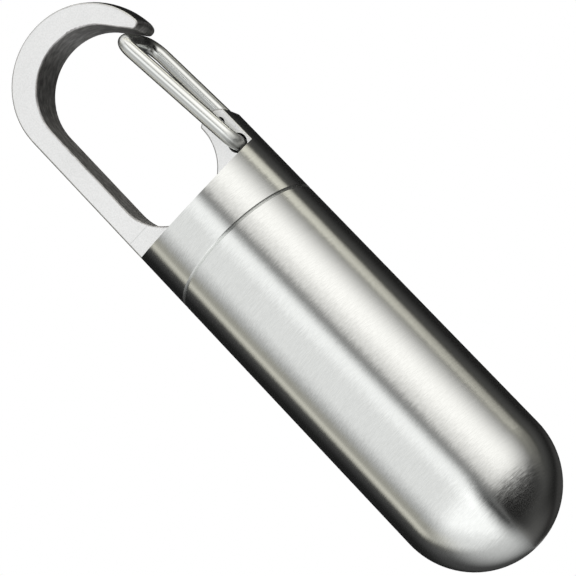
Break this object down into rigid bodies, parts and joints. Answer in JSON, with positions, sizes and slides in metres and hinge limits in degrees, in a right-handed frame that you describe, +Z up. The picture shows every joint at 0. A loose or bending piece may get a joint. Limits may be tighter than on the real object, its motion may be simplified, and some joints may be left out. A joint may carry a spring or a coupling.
{
  "type": "pill fob keychain",
  "caption": "Round-ended steel pill capsule that unscrews from a cap carrying a flat milled carabiner hook with a sprung wire gate; seals pills and clips to keys or a belt loop.",
  "frame": {"origin": "inside of the loop at the hook's crown, on the capsule's axis, where a ring or belt loop carries the fob", "axes": "+Z up along the capsule's axis to the hook's crown, -Y out of the hook's flat front face, +X to the gate"},
  "size_m": [0.018, 0.018, 0.0779],
  "materials": {
    "milled_steel": "satin milled flats over a fine turned collar",
    "turned_steel": "fine turned lines round the capsule, satin",
    "seal_rubber": "matt black nitrile",
    "spring_wire": "drawn spring wire, polished"
  },
  "bodies": {
    "hook": {"cap_hook": "milled_steel"},
    "seal": {"seal_ring": "seal_rubber"},
    "capsule": {"capsule_body": "turned_steel"},
    "gate": {"wire_gate": "spring_wire"}
  },
  "joints": [
    {"name": "capsule_turn", "type": "hinge", "parent": "hook", "child": "seal", "pos_m": [0, 0, -0.0308], "axis": [0, 0, -1], "range_deg": [0, 2880]},
    {"name": "capsule_draw", "type": "slide", "parent": "seal", "child": "capsule", "axis": [0, 0, -1], "range_m": [0, 0.0101]},
    {"name": "gate_swing", "type": "hinge", "parent": "hook", "child": "gate", "pos_m": [0.0073, -0.00185, -0.02285], "axis": [-0.0209, -0.7715, -0.6359], "range_deg": [0, 20], "stiffness_Nm_per_rad": 0.06, "springref_deg": -5.73}
  ],
  "couplings": [
    {"joint": "capsule_draw", "follows": "capsule_turn", "m_per_rad": 0.00019894}
  ]
}
